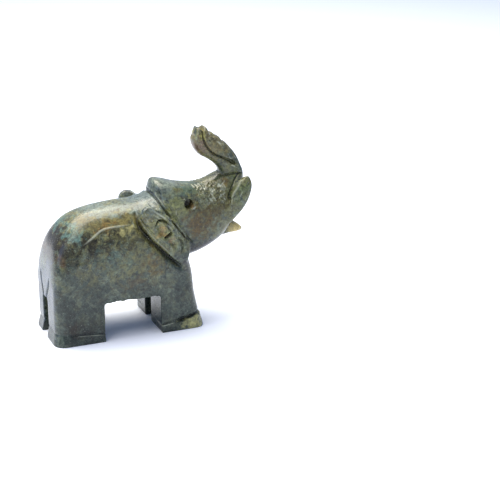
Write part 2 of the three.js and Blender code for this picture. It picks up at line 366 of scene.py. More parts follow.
@dataclass
class Surface:
    """The stone's skin as arrays, to be cut by strokes. Millimetres."""

    piece: Piece
    rump_x: float = -47.0
    co: np.ndarray = field(init=False)
    normal: np.ndarray = field(init=False)
    wear_shade_and_highlight: np.ndarray = field(init=False)

    def __post_init__(self) -> None:
        """Reads the piece's points and normals, with no marks of rubbing and no painted shade or highlight
        yet.
        """
        self.read()
        self.wear_shade_and_highlight = np.zeros(len(self.co))

    def read(self) -> None:
        """Reads the points and normals again, after the mesh has changed."""
        mesh = self.piece.data
        self.co = np.empty(len(mesh.vertices) * 3)
        mesh.vertices.foreach_get("co", self.co)
        self.co = self.co.reshape(-1, 3)
        self.normal = np.empty(len(mesh.vertices) * 3)
        mesh.vertex_normals.foreach_get("vector", self.normal)
        self.normal = self.normal.reshape(-1, 3)

    def write(self) -> None:
        """Writes the points back to the mesh and reads the new normals."""
        self.piece.data.vertices.foreach_set("co", self.co.ravel())
        self.piece.data.update()
        self.read()

    def engrave(self, flat: np.ndarray, near: np.ndarray, share: np.ndarray, stroke: Stroke) -> None:
        """Pushes the skin in along a line.

        Args:
            flat: Places of the near points in the view that the line is drawn in.
            near: Indices of the points that the tool may reach.
            share: How fully each of them is reached, from 0 to 1.
            stroke: The line.
        """
        samples = 24 * (len(stroke.places) - 1)
        t = np.linspace(0, 1, samples)
        line = spline(np.array(stroke.places), t)
        heading = np.gradient(line, axis=0)
        heading /= np.linalg.norm(heading, axis=1)[:, None]
        gap = flat[:, None, :] - line[None, :, :]
        distance = np.linalg.norm(gap, axis=2)
        best = distance.argmin(axis=1)
        rows = np.arange(len(flat))
        offset = gap[rows, best]
        left = heading[best, 0] * offset[:, 1] - heading[best, 1] * offset[:, 0]
        reach = distance[rows, best]
        reach = np.where(left > 0, reach * stroke.steep, reach)
        ends = np.interp(t[best], [0, 0.18, 0.82, 1], [stroke.start, 1, 1, stroke.end])
        width = stroke.width / 2 * (0.45 + 0.55 * ends)
        cover = ends * np.exp(-((reach / width) ** 2) * 1.3) * share
        self.co[near] -= self.normal[near] * (stroke.depth * cover)[:, None]
        self.wear_shade_and_highlight[near] += stroke.wear_shade_and_highlight * cover

    def keep_wear_shade_and_highlight(self) -> None:
        """Leaves the marks of rubbing and the painted shade and highlights on the mesh, for the material to
        read.
        """
        layer = self.piece.data.attributes.new("wear_shade_and_highlight", "FLOAT", "POINT")
        layer.data.foreach_set("value", np.clip(self.wear_shade_and_highlight, -1, 1))

    def inside_once(self, near: np.ndarray, side: Side) -> np.ndarray:
        """Share of a stroke that one side cuts near the middle plane, where both sides cut."""
        return smoothstep(-0.8, 0.8, self.co[near, 1] * side.value)

    def side_stroke(self, stroke: Stroke, side: Side) -> None:
        """Cuts a stroke in one side of the stone.

        Args:
            stroke: The stroke, with its places in the side view.
            side: The side that is cut.
        """
        places = np.array(stroke.places)
        margin = 2 * stroke.width + 0.5
        low, high = places.min(axis=0) - margin, places.max(axis=0) + margin
        out = self.co[:, 1] * side.value
        inside = (self.co[:, 0] > low[0]) & (self.co[:, 0] < high[0]) & (self.co[:, 2] > low[1])
        inside &= (self.co[:, 2] < high[1]) & (out > stroke.least_y - 1)
        near = np.nonzero(inside)[0]
        share = smoothstep(stroke.least_y - 1, stroke.least_y + 0.6, out[near])
        share *= self.inside_once(near, side)
        self.engrave(self.co[near][:, [0, 2]], near, share, stroke)

    def rump_stroke(self, stroke: Stroke) -> None:
        """Cuts a stroke in the rump. Its places are y and z, seen from behind."""
        near = np.nonzero((self.co[:, 0] < self.rump_x) & (self.normal[:, 0] < -0.3))[0]
        self.engrave(self.co[near][:, [1, 2]], near, np.ones(len(near)), stroke)


@dataclass
class Elephant:
    """The carving, by its forms. Lengths are in millimetres, for a height of 100 mm."""

    body_width: float = 39.0
    rear_x: float = -54.5
    toe_x: float = 22.0
    leg_corner: float = 6.0
    foot_flare: float = 1.0
    foot_height: float = 6.6
    leg_block_height: float = 42.0
    belly_height: float = 20.0
    gap_rear_x: float = -30.0
    gap_front_x: float = -0.6
    slot_width: float = 9.0
    slot_offset: float = 1.9
    gap_corner: float = 1.5
    head_width: float = 28.0
    trunk_width: float = 11.4
    tusk_spread: float = 19.6
    tusk_thickness: float = 5.8
    lip_width: float = 8.6
    ear_thickness: float = 5.0
    ear_proud: float = 0.7
    right_ear_lift: float = 0.9
    eye_place: Point2 = (17.2, 63.8)
    eye_diameter: float = 4.9
    eye_depth: float = 5.0
    hatch_rows: int = 5
    hatch_steps: int = 24
    hatch_seed: int = 11
    nick_seed: int = 29
    slow_wobble: float = 0.16
    fast_wobble: float = 0.06
    chip_depth: float = 0.22
    chisel: Chisel = field(default_factory=Chisel)

    def barrel(self) -> Piece:
        """Body, whose ribs fan round the rump and stand upright along the back.

        Returns:
            A closed shell.
        """
        half = self.body_width / 2
        rear = self.rear_x
        ribs = [
            Rib((rear, 22), (-8, 22), half, 8),
            Rib((rear + 0.2, 35), (-8, 32), half, 6.5),
            Rib((-51.4, 48.4), (-10, 22), half, 4),
            Rib((-44, 58.6), (-17, 13), half, 3),
            Rib((-35, 63.2), (-22, 9), half, 2.7),
            Rib((-22, 65), (-17, 8), half, 2.7),
            Rib((-8, 65.8), (-6, 8), half, 2.7),
            Rib((4, 66.6), (5, 8), half, 2.7),
            Rib((12, 58), (13, 10), half * 0.93, 3),
            Rib((15, 46), (15.6, 14), half * 0.82, 3.4),
        ]
        return self.chisel.skin("barrel", ribs, 96, 90)

    def legs(self) -> Piece:
        """Block of the four legs, flared at the soles and sloped back over the toes.

        Returns:
            A closed block, to be cut by the gaps.
        """
        half = self.body_width / 2
        top = self.leg_block_height
        low, high = (self.rear_x, -half, 0), (self.toe_x, half, top)
        block = self.chisel.box("legs", low, high, self.leg_corner, 10, 2)
        self.chisel.slice(block, [1.2, 2.6, 4, 5.4, self.foot_height, 8.5, 11, 14, 17, 20, 25, 30, 34, 38])
        co = np.array([vertex.co[:] for vertex in block.data.vertices])
        height = co[:, 2]
        levels = [0, self.foot_height, 9, 20, 30, 37, top]
        shin = np.interp(height, levels, [0, -0.4, -1.6, -3.5, -4.6, -6, -7.6])
        front = smoothstep(4, self.toe_x, co[:, 0])
        rump = np.interp(height, [0, 30, top], [0, 0, 8])
        back = smoothstep(-36, self.rear_x, co[:, 0])
        flare = self.foot_flare * (1 - smoothstep(0, self.foot_height, height))
        middle = (self.rear_x + self.toe_x) / 2
        co[:, 0] += shin * front + rump * back + flare * np.tanh((co[:, 0] - middle) / 12)
        co[:, 1] += flare * np.sign(co[:, 1])
        block.data.vertices.foreach_set("co", co.ravel())
        self.chisel.tidy_shell(block)
        return block

    def yoke(self) -> Piece:
        """Shoulders that carry the head and the roots of the ears.

        Returns:
            A closed shell.
        """
        half = self.body_width / 2
        ribs = [
            Rib((-10, 64.2), (-10, 40), half * 0.74, 2.5),
            Rib((-6, 65.6), (-2, 38), half * 0.82, 3),
            Rib((-2, 66.8), (6, 37), half * 0.84, 3.2),
            Rib((1.4, 68.4), (14, 39), half * 0.82, 3.2),
            Rib((3.4, 69), (17.6, 42), half * 0.78, 3),
        ]
        return self.chisel.skin("yoke", ribs, 72, 36)

    def head(self) -> Piece:
        """Head, from the crest and throat to the root of the trunk.

        Returns:
            A closed shell.
        """
        half = self.head_width / 2
        ribs = [
            Rib((0.4, 70.6), (15, 35), half * 0.82, 2.5),
            Rib((2.7, 74.9), (20, 34.2), half * 0.94, 2.7),
            Rib((8, 74.3), (26.6, 36.2), half, 2.8),
            Rib((16, 71.9), (32.4, 39.2), half, 2.8),
            Rib((24, 70.8), (37.4, 42.4), half * 0.96, 2.7),
            Rib((31, 71.9), (41.6, 47), half * 0.86, 2.6),
            Rib((38, 75), (45, 52), half * 0.7, 2.5),
            Rib((44, 76), (47.2, 58), half * 0.5, 2.5),
        ]
        return self.chisel.skin("head", ribs, 88, 72)

    def trunk(self) -> Piece:
        """Trunk, curled up over the head.

        Returns:
            A closed shell.
        """
        half = self.trunk_width / 2
        ribs = [
            Rib((48.6, 56), (28, 62), half * 1.12, 2.6),
            Rib((50.6, 66), (33.6, 69.6), half * 1.12, 2.6),
            Rib((50.9, 74), (37.6, 74), half * 1.08, 2.7),
            Rib((49.4, 78.6), (37.6, 76.9), half * 1.04, 2.7),
            Rib((46.6, 84.4), (35, 80), half, 2.7),
            Rib((42.2, 89.9), (31.2, 82.9), half * 0.97, 2.6),
            Rib((37.8, 94), (27.4, 85.3), half * 0.97, 2.6),
            Rib((34, 96.6), (24.6, 89), half * 0.96, 2.6),
            Rib((31.9, 98.6), (23.7, 93.6), half * 0.92, 2.5),
            Rib((30.2, 100), (25.8, 98.2), half * 0.7, 2.3),
        ]
        return self.chisel.skin("trunk", ribs, 64, 90)

    def lip(self) -> Piece:
        """Lower lip, pointing forward under the trunk.

        Returns:
            A closed shell.
        """
        half = self.lip_width / 2
        ribs = [
            Rib((36, 51), (37, 40.8), half, 2.4),
            Rib((43, 49.6), (42.8, 41.7), half * 0.96, 2.4),
            Rib((47.4, 47), (47.2, 41.9), half * 0.72, 2.3),
            Rib((50, 44.8), (49.6, 42.3), half * 0.42, 2.2),
            Rib((51, 43.6), (50.8, 43), half * 0.14, 2),
        ]
        return self.chisel.skin("lip", ribs, 40, 36)

    def tusk(self, side: Side) -> Piece:
        """Tusk: a broad crescent that grows out of the cheek and stands free at its tip.

        Args:
            side: The side that it is on.

        Returns:
            A closed shell.
        """
        out = side.value * self.tusk_spread / 2
        half = self.tusk_thickness / 2
        rows = [
            ((37, 45.5), (30, 53), 0.66, 0.9),
            ((42.6, 51.6), (34.6, 57.6), 0.9, 1.1),
            ((47.4, 57.4), (38.6, 61.8), 1.03, 1.05),
            ((50.6, 63), (41.6, 66.2), 1.04, 1),
            ((52.4, 68.6), (45.2, 70.8), 0.99, 0.9),
            ((51.8, 72.2), (48.2, 73.3), 0.95, 0.56),
            ((50.9, 73.6), (49.9, 73.8), 0.92, 0.16),
        ]
        ribs = [Rib(a, b, half * thick, 2.5, (out * spread, out * spread)) for a, b, spread, thick in rows]
        return self.chisel.skin(f"tusk_{side.name}", ribs, 48, 56)

    def ear(self, side: Side) -> Piece:
        """Ear: a flap from the shoulder to the breast, its front edge sunk in the neck.

        Args:
            side: The side that it is on.

        Returns:
            A closed shell.
        """
        rear = side.value * (self.body_width / 2 + self.ear_proud - self.ear_thickness / 2)
        half = self.ear_thickness / 2
        lift = self.right_ear_lift if side is Side.RIGHT else 0.0
        rows = [
            ((3.6, 61.7 + lift), (-6.4, 65.6 + lift), 0.86, 0.8),
            ((5.4, 60.2), (-8.8, 64 + lift), 0.86, 0.95),
            ((8.4, 57.4), (-9.9, 61), 0.86, 1),
            ((11, 54), (-7.2, 57), 0.87, 1),
            ((13.6, 50.2), (-3.2, 51.7), 0.88, 1),
            ((15.4, 46.6), (1.2, 45.9), 0.9, 1),
            ((16, 43), (5.8, 39.9), 0.94, 1),
            ((15.4, 39.6), (9.8, 34.6), 0.98, 0.9),
            ((14.4, 36), (12, 33), 1, 0.4),
        ]
        ribs = [Rib(a, b, half * thick, 3.6, (rear * out, rear)) for a, b, out, thick in rows]
        return self.chisel.skin(f"ear_{side.name}", ribs, 48, 60)

    def gaps(self) -> list[Piece]:
        """Cutters for the opening under the belly and the slot between the legs.

        Returns:
            The two cutters.
        """
        across, below, top = self.body_width, -9, self.belly_height
        rear, front = self.gap_rear_x, self.gap_front_x
        right = self.slot_offset - self.slot_width / 2
        left = self.slot_offset + self.slot_width / 2
        corner = self.gap_corner
        belly = self.chisel.box("belly gap", (rear, -across, below), (front, across, top), corner, 4, 1)
        slot = self.chisel.box("leg slot", (-80, right, below), (60, left, top), corner, 4, 0)
        return [belly, slot]

    def eye_drills(self) -> list[Piece]:
        """Drills for the two eyes.

        Returns:
            One drill for each side.
        """
        x, z = self.eye_place
        reach = self.head_width / 2 - 0.6
        drills = []
        for side in Side:
            bpy.ops.object.select_all(action="DESELECT")
            bpy.ops.mesh.primitive_cylinder_add(
                vertices=40,
                radius=self.eye_diameter / 2,
                depth=2 * self.eye_depth,
                location=(x, side.value * reach, z),
                rotation=(math.pi / 2, 0, 0),
            )
            bpy.ops.object.transform_apply(location=True, rotation=True, scale=True)
            drills.append(bpy.context.object)
        return drills

    def trunk_slits(self) -> list[Piece]:
        """Cutters for the deep lower end of the groove in the trunk's sides.

        Returns:
            One cutter for each side.
        """
        rows = [
            (34.4, 85.9, 0.2, 0.3),
            (37.4, 84.3, 0.7, 1.4),
            (40.4, 82.7, 1.2, 2.2),
            (43, 81.2, 1.8, 2.6),
            (44.7, 80.1, 1.9, 2.4),
            (45.5, 79.5, 0.8, 1.2),
        ]
        slits = []
        for side in Side:
            out = side.value * self.trunk_width / 2
            ribs = []
            for x, z, wide, deep in rows:
                dx, dz = 0.24 * wide, 0.44 * wide
                ribs.append(Rib((x + dx, z + dz), (x - dx, z - dz), deep, 2.2, (out, out)))
            slits.append(self.chisel.skin(f"slit_{side.name}", ribs, 32, 40))
        return slits

    def rough_out(self) -> Piece:
        """Cuts the forms and runs them together into one stone.

        Returns:
            The rough stone, in millimetres.
        """
        gaps = self.gaps()
        drills = self.eye_drills()
        slits = self.trunk_slits()
        barrel, legs, head, trunk = self.barrel(), self.legs(), self.head(), self.trunk()
        self.chisel.cut(barrel, gaps)
        self.chisel.cut(legs, gaps)
        self.chisel.cut(head, drills)
        self.chisel.cut(trunk, slits)
        forms = [barrel, legs, head, self.yoke(), trunk, self.lip()]
        forms += [make(side) for side in Side for make in (self.tusk, self.ear)]
        for form in forms:
            log.info("form %s with %d faces", form.name, len(form.data.polygons))
        stone = self.chisel.run_together("soapstone_elephant", forms)
        for tool in gaps + drills + slits:
            bpy.data.objects.remove(tool)
        return stone

    def blend_joins(self, stone: Piece) -> None:
        """Rubs down the places where one form grows out of another.

        Args:
            stone: The rough stone.
        """
        skin = Surface(stone)
        co = skin.co
        out = np.abs(co[:, 1])
        # Middle of each place (x, how far out, z) and its radius.
        joins = [
            ((40, 9, 53), 8),
            ((34, 10, 50), 7),
            ((44, 5, 74), 4),
            ((40, 0, 73), 5),
            ((-7, 6, 64.5), 6),
            ((-50, 16, 40), 9),
            ((-50, 16, 32), 8),
            ((12, 16, 40), 4),
            ((40, 3, 46), 4),
        ]
        weights = np.zeros(len(co))
        for (x, y, z), radius in joins:
            gap = np.sqrt((co[:, 0] - x) ** 2 + (out - y) ** 2 + (co[:, 2] - z) ** 2)
            weights = np.maximum(weights, 1 - smoothstep(0.5 * radius, radius, gap))
        seam = 1 - smoothstep(1, 5, np.abs(co[:, 2] - self.leg_block_height))
        seam = seam * (co[:, 0] < 6) * smoothstep(14, 17, out)
        weights = np.maximum(weights, seam)
        self.chisel.rub(stone, 40, weights)
        self.chisel.rub(stone, 2)

    def neck_lines(self) -> list[Stroke]:
        """The crease behind the head, darkened by waxing and painted shade, its branch at the crest, and the
        ridge beside it with a painted highlight.
        """
        crease = ((0.6, 69.6), (2, 66.8), (4, 63), (7.2, 58.2), (11, 52.2), (15, 47.4), (18.8, 43.4))
        return [
            Stroke(crease, 1.5, 1.7, 0.5, 0.5, 1.7, 0, 0.8),
            Stroke(((2, 70.6), (3.2, 67.8), (4.8, 64.4), (6.6, 61.4)), 1.1, 0.9, 0.4, 0.1, 1, 3),
            Stroke(((1.4, 69.8), (2.6, 67.2), (4.4, 63.8), (7.6, 59)), 0.8, -0.35, 0.4, 0.1, 1, 3, -0.3),
        ]

    def ear_lines(self) -> list[Stroke]:
        """The gouge behind the ear with a band of painted shade in it, the ridges along its edges with
        painted highlights, and the hollows in its face.

        Returns:
            The strokes, from the ear's rear edge to its front.
        """
        gouge = ((-10.3, 60), (-9, 55.6), (-4.9, 49.7), (-0.1, 44.4), (5.2, 39), (10.8, 33.8))
        gouge_shade = ((-9.8, 58.6), (-8.6, 55.2), (-4.6, 49.4), (0.2, 44.1), (5.4, 38.8), (10.2, 34.2))
        rim = ((-9, 58.8), (-6.6, 54.9), (-2.6, 49.6), (2.4, 43.9), (6.8, 38.8), (9.6, 36))
        top = ((-7.4, 66.8), (-4.5, 65.7), (-0.5, 62.1), (4, 60), (7.6, 57.4))
        return [
            Stroke(((-10.4, 66), (-10.7, 62), (-10, 58)), 1.3, 1.2, 0.2, 0.9, 1.2, 12),
            Stroke(gouge, 4.8, 2.9, 0.3, 0.35, 3.4, 14, 0.1),
            # A band of painted shade in the gouge, where the ear's raised edge shades it.
            Stroke(gouge_shade, 3.2, 0.3, 0.5, 0.6, 2, 14, 0.85),
            # Painted highlights on the ridges along the ear's rear edge and its top.
            Stroke(rim, 0.8, -0.3, 0.4, 0.2, 1, 14, -0.35),
            Stroke(top, 1.2, -0.55, 0.5, 0.2, 1, 10, -0.3),
            Stroke(((-8.2, 68.6), (-2.6, 66.6), (1.8, 63.4)), 2.8, 0.45, 0.5, 0.2, 1, 8, 0),
            # The two hollows, with painted shade under their upper edges.
            Stroke(((-2.4, 56.6), (-0.6, 59.1), (1.8, 58.9), (4.6, 56.6)), 1.3, 1.9, 0.3, 0.5, 1.6, 12, 0.7),
            Stroke(((-0.8, 56.8), (0.6, 54), (1.8, 51)), 5.0, 2.0, 0.6, 0.4, 1, 12, 0),
            Stroke(((2.7, 49.9), (4.4, 50.9), (6.3, 52.3)), 1.7, 2.4, 0.8, 0.3, 1.2, 12, 0.8),
            Stroke(((4.6, 49.6), (6, 47.2), (7.6, 44.4)), 3.4, 1.5, 0.7, 0.3, 1, 12, 0),
            Stroke(((9, 50), (11, 47), (11.6, 44.4), (10.8, 41.4)), 1.2, 1.5, 0.2, 0.4, 1, 12),
        ]

    def trunk_lines(self) -> list[Stroke]:
        """The groove along the trunk, the crease at its root, and the edge of the tusk, with painted shade in
        the groove and painted highlights below it and along the tusk's edge.

        Returns:
            The strokes, from the trunk's tip downwards.
        """
        groove = ((27.9, 98.8), (28.3, 95), (29.3, 91.7), (31.5, 88.2), (34.3, 85.8), (38, 83.9))
        tusk_edge = ((48.4, 74.6), (46.4, 73.6), (43.4, 69.9), (40.2, 65.2), (39, 59.6))
        return [
            # Painted shade in the groove.
            Stroke(groove, 1.1, 1.5, 0.8, 0.6, 1.5, 2.2, 0.8),
            # Painted highlight on the facet below the groove's end.
            Stroke(((42.6, 79.4), (43.8, 78.9), (45.2, 78.1)), 1.0, -0.6, 0.3, 0.4, 1, 3, -0.7),
            Stroke(((38.6, 74.3), (43.4, 74.8), (48.4, 74.6)), 1.2, 1.3, 0.3, 0.8, 1.3, 2.2),
            Stroke(tusk_edge, 1.1, 1.0, 0.4, 0.1, 1, 4),
            # Painted highlight along the ridge beside the tusk's edge.
            Stroke(((47.2, 73.2), (44.4, 69.2), (41.2, 64.6), (40, 60)), 0.9, -0.45, 0.3, 0.1, 1, 5, -0.4),
        ]

    def head_marks(self) -> list[Stroke]:
        """A nick above the eye, a painted highlight on the rim under it, and a nick in the crest."""
        return [
            Stroke(((14, 67.6), (14.7, 67)), 1.4, 1.0, 1, 1, 1, 8),
            Stroke(((18.8, 60.9), (19.8, 61.5), (20.8, 62.3)), 0.8, 0.35, 0.3, 0.3, 1, 8, -0.9),
            Stroke(((1.9, 72.6), (2.7, 70.8), (3.5, 69)), 1.4, 1.0, 0.6, 0.2, 1, 8),
        ]

    def flank_lines(self) -> list[Stroke]:
        """The ridge left along the flank, the foot lines, and two scratches by the elbow, with painted
        highlights on the ridge and under the foot lines and painted shade in the toe groove.

        Returns:
            The strokes, all of them on the broad side.
        """
        ridge = ((-40, 50.4), (-34, 54), (-28.8, 56.9), (-22.6, 57.7), (-12.4, 58))
        return [
            # Painted highlight along the ridge on the flank.
            Stroke(ridge, 0.9, -0.35, 0.1, 0.1, 1, 12, -0.65),
            # Painted shade in the fore foot's toe groove; the ridges below the foot lines carry painted
            # highlights.
            Stroke(((7, 5.2), (12, 6), (17, 7.1), (21.8, 8.2)), 2.1, 2.0, 0.25, 0.9, 1.3, 12, 0.9),
            Stroke(((-1, 4.2), (3, 4.7), (7.4, 5.2)), 0.8, 0.6, 0.4, 0.4, 1, 12),
            Stroke(((-1, 3.5), (3, 4), (6.4, 4.4)), 0.6, -0.3, 0.4, 0.2, 1, 12, -0.7),
            Stroke(((-50, 6), (-42, 5.4), (-30, 4.4)), 0.8, 0.5, 0.2, 0.8, 1, 12),
            Stroke(((-46, 5), (-38, 4.4), (-30, 3.7)), 0.6, -0.25, 0.2, 0.6, 1, 12, -0.5),
            Stroke(((5, 36.6), (3, 34.6), (1.8, 31.8), (1.9, 29.2)), 0.8, 0.3, least_y=12),
            Stroke(((3, 34.6), (4.6, 33), (5.4, 30.8)), 0.7, 0.25, least_y=12),
        ]

    def side_lines(self) -> list[Stroke]:
        """Lines and hollows that both sides carry, in the order in which they are cut."""
        head = self.neck_lines() + self.ear_lines() + self.trunk_lines() + self.head_marks()
        return head + self.flank_lines()

    def hatching(self, side: Side) -> list[Stroke]:
        """Short slanting chisel marks on the brow, between the eye and the trunk.

        Args:
            side: The side that they are on, which picks how they vary.

        Returns:
            The marks, row by row from the top.
        """
        dice = random.Random(self.hatch_seed + side.value)
        first_x, first_z = 22.4, 72
        step_x, step_z, row_z = 0.67, 0.08, 2.1
        marks = []
        for row in range(self.hatch_rows):
            for step in range(self.hatch_steps):
                x = first_x + step_x * step + dice.uniform(-0.25, 0.25)
                z = first_z - row_z * row - step_z * step + dice.uniform(-0.6, 0.6)
                reach = dice.uniform(0.6, 1.5)
                run = (0.45 * reach, -0.89 * reach) if (row + step) % 3 else (0.8 * reach, 0.6 * reach)
                places = ((x - run[0], z - run[1]), (x, z), (x + run[0], z + run[1]))
                faint = 0.5 if row == self.hatch_rows - 1 or step < 5 else 1
                # Some marks are dark, some pale as scratched soapstone is; the pale ones are also painted
                # glints.
                wear_shade_and_highlight = dice.choice((0.5, 0.2, -0.35, -0.8)) * faint
                marks.append(Stroke(places, 0.6, dice.uniform(0.25, 0.55), 0.1, 0.1, 1, 3, wear_shade_and_highlight))
        return marks

    def tool_marks(self, side: Side) -> list[Stroke]:
        """Rough nicks that rubbing left on the trunk, the ear, the flank behind it and the tusk.

        Args:
            side: The side that they are on, which picks how they vary.

        Returns:
            The marks.
        """
        dice = random.Random(self.nick_seed + side.value)
        marks = []
        tip_nicks = 16
        for _ in range(tip_nicks):
            along = dice.random()
            x = 30.5 + 9 * along + dice.uniform(-1.2, 1.2)
            z = 97 - 7.5 * along + dice.uniform(-1.4, 1.4)
            marks.append(self.nick(dice, x, z, (0.75, -0.66), 1.0, 2.2))
        # How many, where along x and z, their direction and width, and how far out: on the ear, on the
        # flank behind it, on the tusk and on the lower trunk.
        areas = [
            (44, (-8, 11), (42, 63), (-0.3, 0.95), 0.55, 13),
            (5, (-14.5, -12), (57, 62), (-0.2, 0.98), 0.6, 13),
            (22, (38, 50), (56, 72), (-0.45, -0.9), 0.7, 6),
            (10, (34, 46), (77, 88), (0.6, -0.8), 0.8, 2.2),
        ]
        for count, x_range, z_range, run, width, least_y in areas:
            for _ in range(count):
                x, z = dice.uniform(*x_range), dice.uniform(*z_range)
                marks.append(self.nick(dice, x, z, run, width, least_y))
        return marks + self.ear_wrinkles()

    def nick(
        self, dice: random.Random, x: float, z: float, run: Point2, width: float, least_y: float
    ) -> Stroke:
        """One short shallow mark.

        Args:
            dice: Where its length, slant, wear and depth come from.
            x: Its middle in the side view.
            z: Its middle in the side view.
            run: Its direction.
            width: Its width.
            least_y: How far out the stone must be to be reached.

        Returns:
            The mark.
        """
        reach = dice.uniform(0.8, 2.0)
        slant = dice.uniform(-0.3, 0.3)
        dx, dz = reach * (run[0] + slant * run[1]), reach * (run[1] - slant * run[0])
        wear_shade_and_highlight = dice.uniform(-0.6, 0.5)
        depth = dice.uniform(0.12, 0.36)
        return Stroke(((x - dx, z - dz), (x, z), (x + dx, z + dz)), width, depth, 0.1, 0.1, 1, least_y, wear_shade_and_highlight)

    def ear_wrinkles(self) -> list[Stroke]:
        """Fine lines that follow the ear's front edge, dark and pale by turns, the pale ones painted
        highlights.

        Returns:
            The lines, from the edge inwards.
        """
        edge = ((-2.6, 65), (1.8, 61.6), (6, 57.8), (9.2, 53.4))
        wrinkles = []
        for step in range(5):
            line = tuple((x - 0.62 * step, z - 0.55 * step) for x, z in edge)
            wrinkles.append(Stroke(line, 0.55, 0.28, least_y=12, wear_shade_and_highlight=-0.6 if step % 2 else 0.4))
        return wrinkles

    def tail_line(self, side: Side) -> Stroke:
        """One of the two slanting lines between the tail and the hind legs.

        Args:
            side: The side that it starts on.

        Returns:
            The line, with its places in y and z, seen from behind.
        """
        rows = [(33, 7.8), (28, 6.2), (23.5, 3.8), (19.5, 2.0)]
        drift = [self.slot_offset * (33 - z) / 13 for z, _ in rows]
        places = tuple((d + side.value * half, z) for d, (z, half) in zip(drift, rows))
        return Stroke(places, 1.5, 0.9, 0.1, 1.0, 1, 0)

    def engrave(self, stone: Piece) -> None:
        """Cuts the hollows and lines in the stone.

        Args:
            stone: The stone, with its joins blended.
        """
        skin = Surface(stone)
        for side in Side:
            for stroke in self.side_lines() + self.hatching(side) + self.tool_marks(side):
                skin.side_stroke(stroke, side)
            skin.write()
        for side in Side:
            skin.rump_stroke(self.tail_line(side))
        self.notch_tip(skin)
        self.ring_feet(skin)
        self.hand_wobble(skin)
        skin.write()
        skin.keep_wear_shade_and_highlight()

    def notch_tip(self, skin: Surface) -> None:
        """Parts the two lobes at the trunk's tip and dents the face below them.

        Args:
            skin: The stone's skin.
        """
        co = skin.co
        lobe, notch = (25.9, 98.2, 0.9, 1.9), (28.8, 99.6, -2.2, 0.8)
        for x, z, lift, size in (lobe, notch):
            away = np.hypot(co[:, 0] - x, co[:, 2] - z)
            co[:, 2] += lift * np.exp(-((away / size) ** 2))
        dents = [
            (32.9, 97.4, 1.0, 1.0),
            (36.4, 95.3, 0.5, 0.9),
            (39.8, 92.2, 0.5, 1.3),
            (24.2, 95.4, 0.35, 1.0),
        ]
        push = np.zeros(len(co))
        for x, z, depth, size in dents:
            push += depth * np.exp(-((np.hypot(co[:, 0] - x, co[:, 2] - z) / size) ** 2))
        co -= skin.normal * push[:, None]

    def ring_feet(self, skin: Surface) -> None:
        """Carries the foot lines round the toes and the heels.

        Args:
            skin: The stone's skin.
        """
        co, normal = skin.co, skin.normal
        front = smoothstep(18.4, 20.4, co[:, 0]) * (normal[:, 0] > 0.2)
        line = np.abs(co[:, 2] - (8.1 + 0.1 * (co[:, 0] - 21)))
        co -= normal * (front * 1.1 * np.exp(-((line / 0.75) ** 2)))[:, None]
        rear = smoothstep(49.5, 52, -co[:, 0]) * (normal[:, 0] < -0.2)
        line = np.abs(co[:, 2] - 6.2)
        co -= normal * (rear * 0.3 * np.exp(-((line / 0.5) ** 2)))[:, None]

    def hand_wobble(self, skin: Surface) -> None:
        """Leaves the soft unevenness of hand rubbing, and chips along the belly's edge.

        Args:
            skin: The stone's skin.
        """
        co = skin.co
        x, y, z = co[:, 0], co[:, 1], co[:, 2]
        slow = np.sin(x / 7.3 + 1.1 * np.sin(z / 9.1)) * np.sin(z / 6.1 + 0.8) * np.sin(y / 8.7 + 0.4)
        fast = np.sin(x / 2.9 + 2.0) * np.sin(z / 3.3 + 0.5 * np.sin(x / 5)) * np.sin(y / 3.1 + 1.0)
        above_sole = smoothstep(0.4, 2.0, z)
        co += skin.normal * ((self.slow_wobble * slow + self.fast_wobble * fast) * above_sole)[:, None]
        edge = np.exp(-(((z - self.belly_height) / 1.1) ** 2)) * smoothstep(15.5, 18.5, np.abs(y))
        edge *= smoothstep(self.gap_rear_x - 1, self.gap_rear_x + 2, x) * (1 - smoothstep(-3, 0, x))
        chips = np.sin(x * 0.7 + 1.5 * np.sin(x * 0.31)) + 0.5 * np.sin(x * 2.3 + 2 * np.sin(x * 0.53))
        co[:, 2] += self.chip_depth * edge * chips

    def shift(self) -> float:
        """How far the row frame lies from the carver's frame along x, in millimetres."""
        low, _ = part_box("elephant")
        return low[0] / MM - (self.rear_x - self.foot_flare)

    def build(self) -> Piece:
        """Carves the whole elephant and brings it to the row frame.

        Returns:
            The finished stone, in metres, with its place in its mesh.
        """
        stone = self.rough_out()
        log.info("rough stone with %d faces", len(stone.data.polygons))
        self.blend_joins(stone)
        self.engrave(stone)
        self.chisel.rub(stone, 1)
        self.chisel.thin_out(stone)
        shift = self.shift()
        stone.data.transform(Matrix.Scale(MM, 4) @ Matrix.Translation((shift, 0, 0)))
        self.chisel.only(stone)
        bpy.ops.object.shade_smooth()
        log.info("finished stone with %d faces, moved %.2f mm", len(stone.data.polygons), shift)
        return stone

    def dress(self, stone: Piece) -> None:
        """Gives the stone its finish."""
        stone.data.materials.clear()
        stone.data.materials.append(PolishedSoapstone().build(self.shift() * MM))


def span(low: float, high: float, start: float, end: float) -> dict[int, float]:
    """Settings of a Map Range node that turns low into start and high into end."""
    return {1: low, 2: high, 3: start, 4: end}


@dataclass
class NodeBench:
    """A material's node tree, with one small function that adds a node."""

    material: bpy.types.Material

    def add(self, kind: str, settings: dict | None = None, links: dict | None = None) -> bpy.types.Node:
        """Adds a node with its settings and links.

        Args:
            kind: The node's type.
            settings: Properties by name, or input values by input name or number.
            links: For an input's name or number, the socket that feeds it, or a node whose first
                output does.

        Returns:
            The node.
        """
        tree = self.material.node_tree
        node = tree.nodes.new(kind)
        for key, value in (settings or {}).items():
            if isinstance(key, str) and hasattr(node, key):
                setattr(node, key, value)
            else:
                node.inputs[key].default_value = value
        for key, source in (links or {}).items():
            socket = source.outputs[0] if isinstance(source, bpy.types.Node) else source
            tree.links.new(socket, node.inputs[key])
        return node


